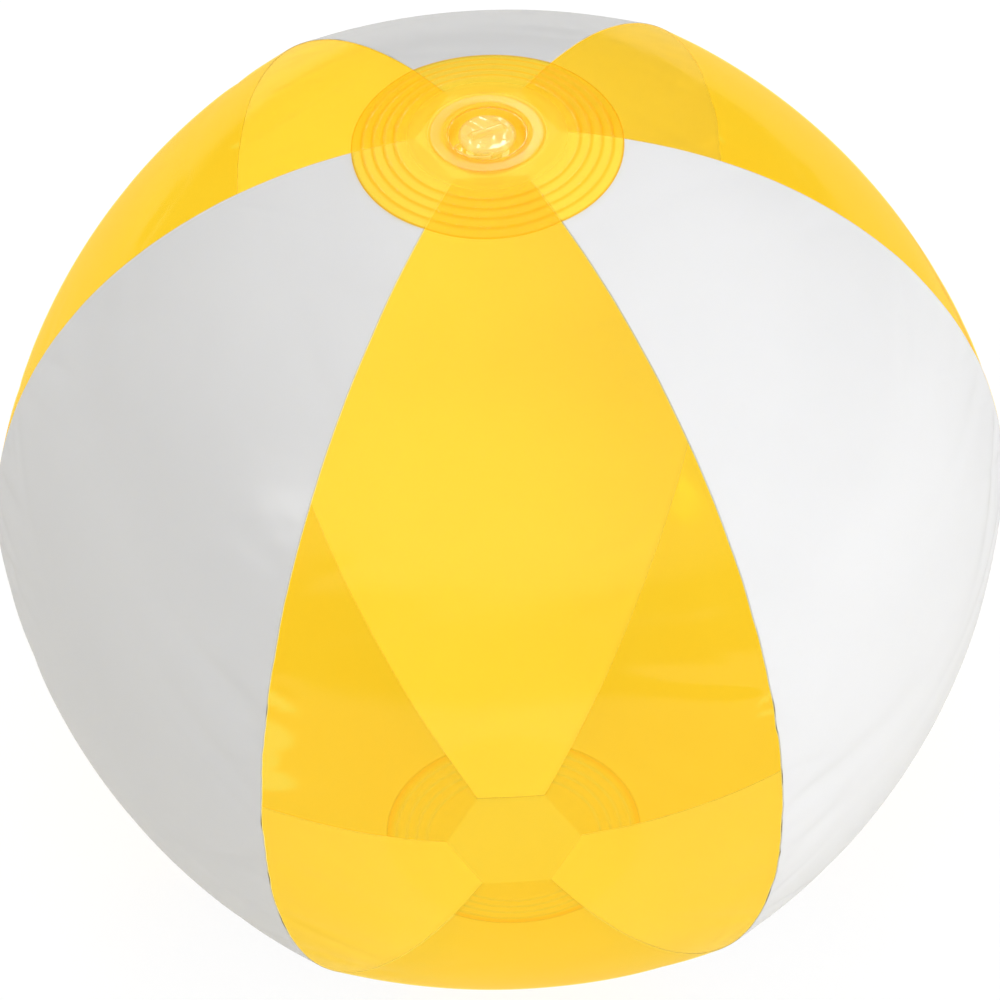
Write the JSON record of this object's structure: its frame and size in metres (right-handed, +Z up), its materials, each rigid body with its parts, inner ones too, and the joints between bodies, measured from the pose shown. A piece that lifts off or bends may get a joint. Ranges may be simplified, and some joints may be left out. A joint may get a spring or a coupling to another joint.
{
  "type": "beach ball",
  "caption": "Inflatable beach ball of welded film panels in alternating see-through yellow and white, closed by yellow end discs, with a push-in valve and a plug.",
  "frame": {"origin": "centre of the flat on the bottom disc that the ball stands on", "axes": "+Z up through the valve, -Y through the middle of the front yellow panel, +X to the right of that panel"},
  "size_m": [0.2864, 0.276, 0.2827],
  "materials": {
    "yellow_film": "glossy see-through yellow PVC film",
    "white_film": "glossy opaque white PVC film",
    "valve_pvc": "clear yellowish moulded soft PVC"
  },
  "bodies": {
    "ball": {"yellow_panel_front": "yellow_film", "white_panel_right": "white_film", "yellow_panel_back_right": "yellow_film", "white_panel_back": "white_film", "yellow_panel_back_left": "yellow_film", "white_panel_left": "white_film", "top_disc": "yellow_film", "bottom_disc": "yellow_film", "valve_flange": "valve_pvc", "valve_collar": "valve_pvc"},
    "valve": {"valve_stem": "valve_pvc", "plug_strap": "valve_pvc"},
    "plug": {"valve_plug": "valve_pvc"},
    "flap": {"check_flap": "valve_pvc"}
  },
  "joints": [
    {"name": "valve_pop", "type": "slide", "parent": "ball", "child": "valve", "axis": [0, 0, 1], "range_m": [0, 0.012], "deforming": ["valve_collar"]},
    {"name": "plug_pull", "type": "slide", "parent": "valve", "child": "plug", "axis": [0, 0, 1], "range_m": [0, 0.012], "deforming": ["plug_strap"]},
    {"name": "flap_open", "type": "hinge", "parent": "valve", "child": "flap", "pos_m": [0, 0.00665, 0.26574], "axis": [1, 0, 0], "range_deg": [0, 60], "stiffness_Nm_per_rad": 0.0001}
  ]
}
